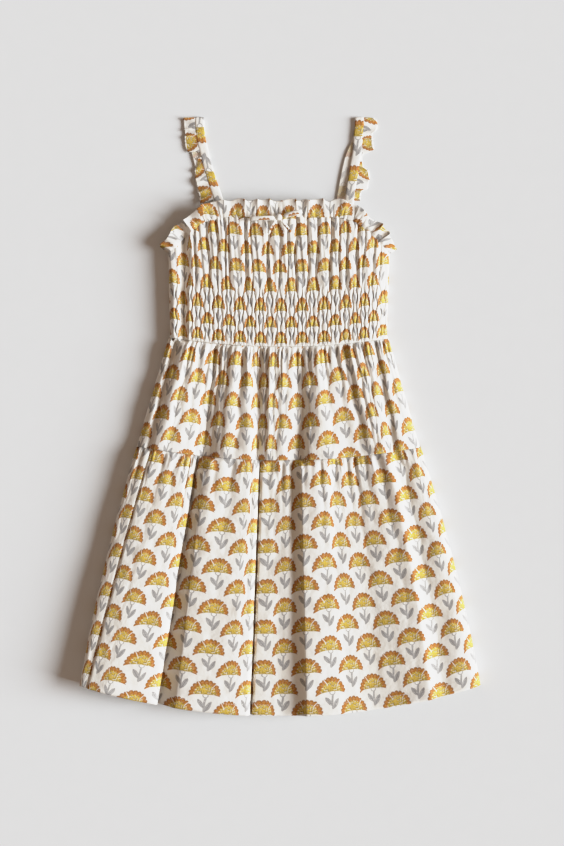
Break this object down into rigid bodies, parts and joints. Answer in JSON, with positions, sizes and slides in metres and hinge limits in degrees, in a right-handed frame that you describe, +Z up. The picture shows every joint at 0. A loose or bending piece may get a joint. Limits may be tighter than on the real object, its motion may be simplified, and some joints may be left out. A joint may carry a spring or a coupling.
{
  "type": "sundress",
  "caption": "Child's sleeveless strap sundress laid flat, with ruffled straps, a gathered and shirred bodice and a two-tier skirt.",
  "frame": {"origin": "middle of the bounding box, on the surface that the dress lies on", "axes": "+X across the dress to the right as seen from above, +Y from the hem towards the straps, +Z up from the surface, out of the dress's front"},
  "size_m": [0.414, 0.6208, 0.0234],
  "materials": {
    "printed_cotton": "matte"
  },
  "bodies": {
    "root": {"bodice_back": "printed_cotton", "bodice_front": "printed_cotton", "skirt_upper_back": "printed_cotton", "skirt_upper_front": "printed_cotton", "skirt_lower_back": "printed_cotton", "skirt_lower_front": "printed_cotton", "neck_frill": "printed_cotton", "arm_frill_left": "printed_cotton", "arm_frill_right": "printed_cotton", "strap_left": "printed_cotton", "strap_right": "printed_cotton", "strap_ruffle_left": "printed_cotton", "strap_ruffle_right": "printed_cotton", "bow_knot": "printed_cotton", "bow_loop_left": "printed_cotton", "bow_loop_right": "printed_cotton", "bow_tail_left": "printed_cotton", "bow_tail_right": "printed_cotton"}
  },
  "joints": []
}
